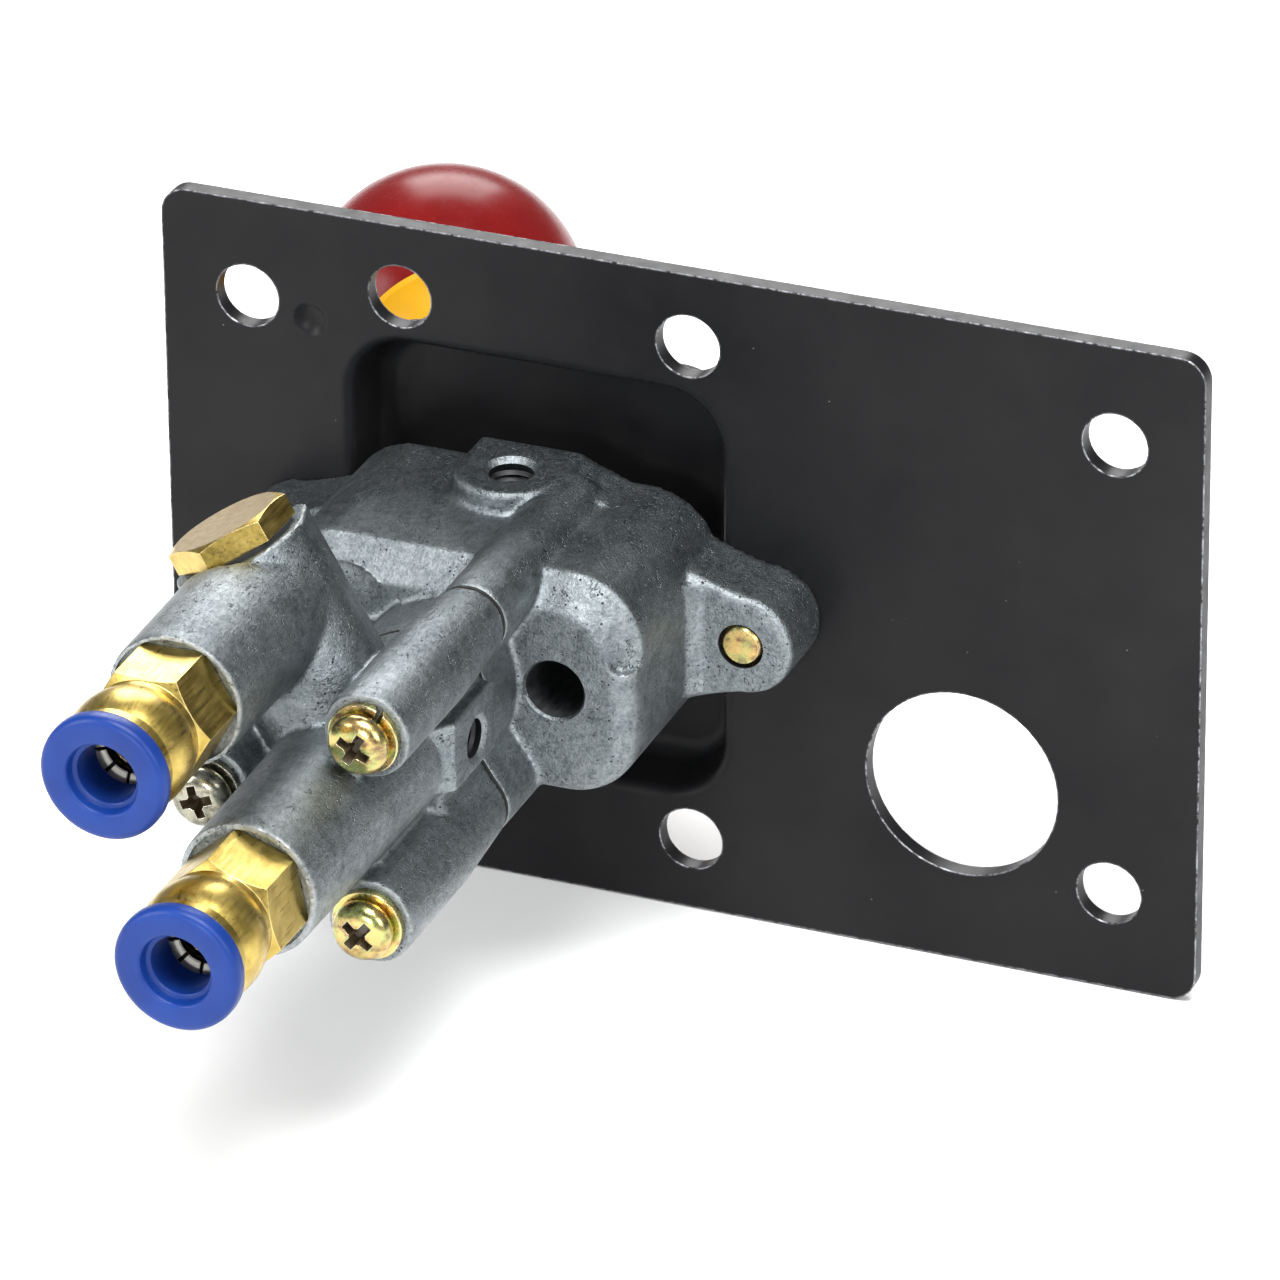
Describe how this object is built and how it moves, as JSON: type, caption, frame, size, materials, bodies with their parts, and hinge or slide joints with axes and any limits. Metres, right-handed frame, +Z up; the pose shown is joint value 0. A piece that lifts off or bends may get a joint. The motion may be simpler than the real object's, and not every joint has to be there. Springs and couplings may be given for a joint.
{
  "type": "power_take_off_control_valve",
  "caption": "Panel-mounted air control valve: pressed plate, lobed die-cast body with cross boss, push-in tube fittings at the rear, and a ball-knob lever with lift collar in front",
  "frame": {"origin": "centre of the four corner bolt holes, on the rear face of the mounting plate", "axes": "+Z up, X along the plate's length, +Y to the rear where the tube fittings are, -Y to the operator's side where the lever and its knob are"},
  "size_m": [0.1274, 0.1677, 0.077],
  "materials": {
    "plate_coat": "satin black coating on pressed steel",
    "casting": "as-cast grey zinc alloy with a light blasted grain",
    "plated_screw": "yellow passivated zinc plating",
    "brass": "machined brass",
    "steel": "bright steel",
    "seal_rubber": "black rubber",
    "blue_collar": "moulded blue plastic",
    "red_knob": "dark red moulded plastic",
    "yellow_collar": "yellow moulded plastic"
  },
  "bodies": {
    "valve": {"mounting_plate": "plate_coat", "valve_body": "casting", "rear_cap": "casting", "cap_gasket": "seal_rubber", "cap_screws": "plated_screw", "cap_lock_washers": "plated_screw", "ear_screws": "plated_screw", "hex_plug": "brass", "plug_seal": "seal_rubber", "pivot_pin": "steel", "return_spring": "steel", "poppet_spring": "steel", "supply_fitting": "brass", "supply_gripper_ring": "steel", "supply_tube_seal": "seal_rubber", "delivery_fitting": "brass", "delivery_gripper_ring": "steel", "delivery_tube_seal": "seal_rubber"},
    "lever": {"lever_hub": "steel", "lever_rod": "steel", "ball_knob": "red_knob", "lock_spring": "steel"},
    "lift_collar": {"lock_collar": "yellow_collar"},
    "plunger_group": {"plunger": "brass", "plunger_seal": "seal_rubber"},
    "poppet_group": {"inlet_poppet": "brass", "poppet_face": "seal_rubber"},
    "supply_release": {"supply_release_collar": "blue_collar"},
    "delivery_release": {"delivery_release_collar": "blue_collar"}
  },
  "joints": [
    {"name": "lever_hinge", "type": "hinge", "parent": "valve", "child": "lever", "pos_m": [0.0164, 0.003, 0], "axis": [0, 0, -1], "range_deg": [0, 60.8]},
    {"name": "collar_lift", "type": "slide", "parent": "lever", "child": "lift_collar", "axis": [0.506, -0.8625, 0], "range_m": [0, 0.003], "stiffness_N_per_m": 800, "springref_m": -0.002, "deforming": ["lock_spring"]},
    {"name": "plunger_slide", "type": "slide", "parent": "valve", "child": "plunger_group", "axis": [0, 1, 0], "range_m": [0, 0.0032], "deforming": ["return_spring"]},
    {"name": "poppet_slide", "type": "slide", "parent": "valve", "child": "poppet_group", "axis": [0, 1, 0], "range_m": [0, 0.002], "deforming": ["poppet_spring"]},
    {"name": "supply_release_press", "type": "slide", "parent": "valve", "child": "supply_release", "axis": [0, -1, 0], "range_m": [0, 0.0008], "stiffness_N_per_m": 1500, "springref_m": -0.0005},
    {"name": "delivery_release_press", "type": "slide", "parent": "valve", "child": "delivery_release", "axis": [0, -1, 0], "range_m": [0, 0.0008], "stiffness_N_per_m": 1500, "springref_m": -0.0005}
  ],
  "couplings": [
    {"joint": "plunger_slide", "follows": "lever_hinge", "m_per_rad": 0.0030155},
    {"joint": "poppet_slide", "follows": "lever_hinge", "m_per_rad": 0.0018847}
  ]
}
